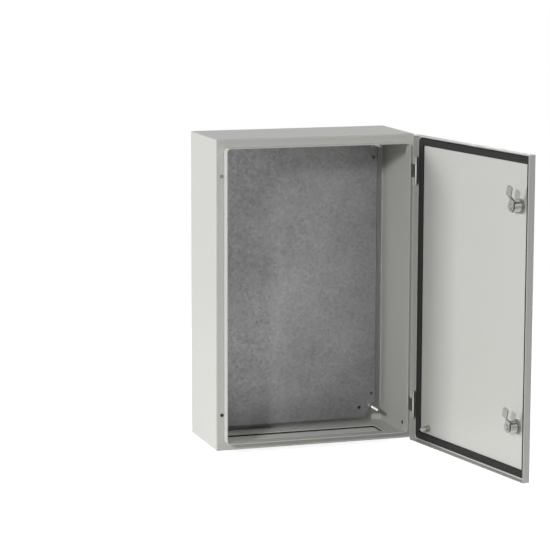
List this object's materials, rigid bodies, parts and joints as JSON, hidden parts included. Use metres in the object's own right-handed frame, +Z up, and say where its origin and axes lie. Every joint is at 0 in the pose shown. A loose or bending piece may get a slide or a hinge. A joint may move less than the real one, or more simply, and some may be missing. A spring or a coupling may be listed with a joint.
{
  "type": "wall-mounted sheet steel enclosure",
  "caption": "Folded sheet steel wall cabinet with a hinged gasketed door, cam locks, an inner mounting plate on studs and a blank cable entry plate.",
  "frame": {"origin": "centre of the back face, which lies against the wall", "axes": "+X to the right seen from the front, +Y from the front into the wall, +Z up"},
  "size_m": [0.4721, 0.5824, 0.611],
  "materials": {
    "grey_paint": "fine textured powder coat",
    "galvanised": "galvanised sheet with dull spangle",
    "zinc": "bright zinc plating",
    "die_cast": "satin chrome on die casting",
    "foam_rubber": "matt closed-cell foam",
    "black_plastic": "matt moulded plastic",
    "grey_plastic": "matt moulded plastic"
  },
  "bodies": {
    "cabinet": {"enclosure_shell": "grey_paint", "gland_gasket": "foam_rubber", "gland_plate": "grey_paint", "gland_studs": "zinc", "gland_nuts": "zinc", "mounting_plate": "galvanised", "plate_studs": "zinc", "plate_spacers": "zinc", "plate_washers": "zinc", "plate_nuts": "zinc", "upper_flange_plug": "grey_plastic", "lower_flange_plug": "black_plastic", "earth_hole_plug": "black_plastic", "upper_hinge_body_leaf": "zinc", "lower_hinge_body_leaf": "zinc", "upper_hinge_pin": "zinc", "lower_hinge_pin": "zinc", "hinge_screws": "zinc", "hinge_nuts": "zinc"},
    "door": {"door_panel": "grey_paint", "door_gasket": "foam_rubber", "upper_hinge_door_leaf": "zinc", "lower_hinge_door_leaf": "zinc", "upper_lock_housing": "die_cast", "lower_lock_housing": "die_cast", "upper_lock_nut": "zinc", "lower_lock_nut": "zinc", "lock_seals": "black_plastic", "door_earth_stud": "zinc", "door_earth_washers": "zinc", "door_earth_nut": "zinc"},
    "upper_lock": {"upper_lock_spindle": "die_cast", "upper_lock_cam": "zinc", "upper_cam_screw": "zinc"},
    "lower_lock": {"lower_lock_spindle": "die_cast", "lower_lock_cam": "zinc", "lower_cam_screw": "zinc"}
  },
  "joints": [
    {"name": "door_hinge", "type": "hinge", "parent": "cabinet", "child": "door", "pos_m": [0.1962, -0.191, 0], "axis": [0, 0, 1], "range_deg": [-99.8, 20.2]},
    {"name": "upper_lock_turn", "type": "hinge", "parent": "door", "child": "upper_lock", "pos_m": [0.26519, -0.53751, 0.203], "axis": [0.9854, 0.1702, 0], "range_deg": [-15, 75]},
    {"name": "lower_lock_turn", "type": "hinge", "parent": "door", "child": "lower_lock", "pos_m": [0.26519, -0.53751, -0.203], "axis": [0.9854, 0.1702, 0], "range_deg": [-15, 75]}
  ]
}
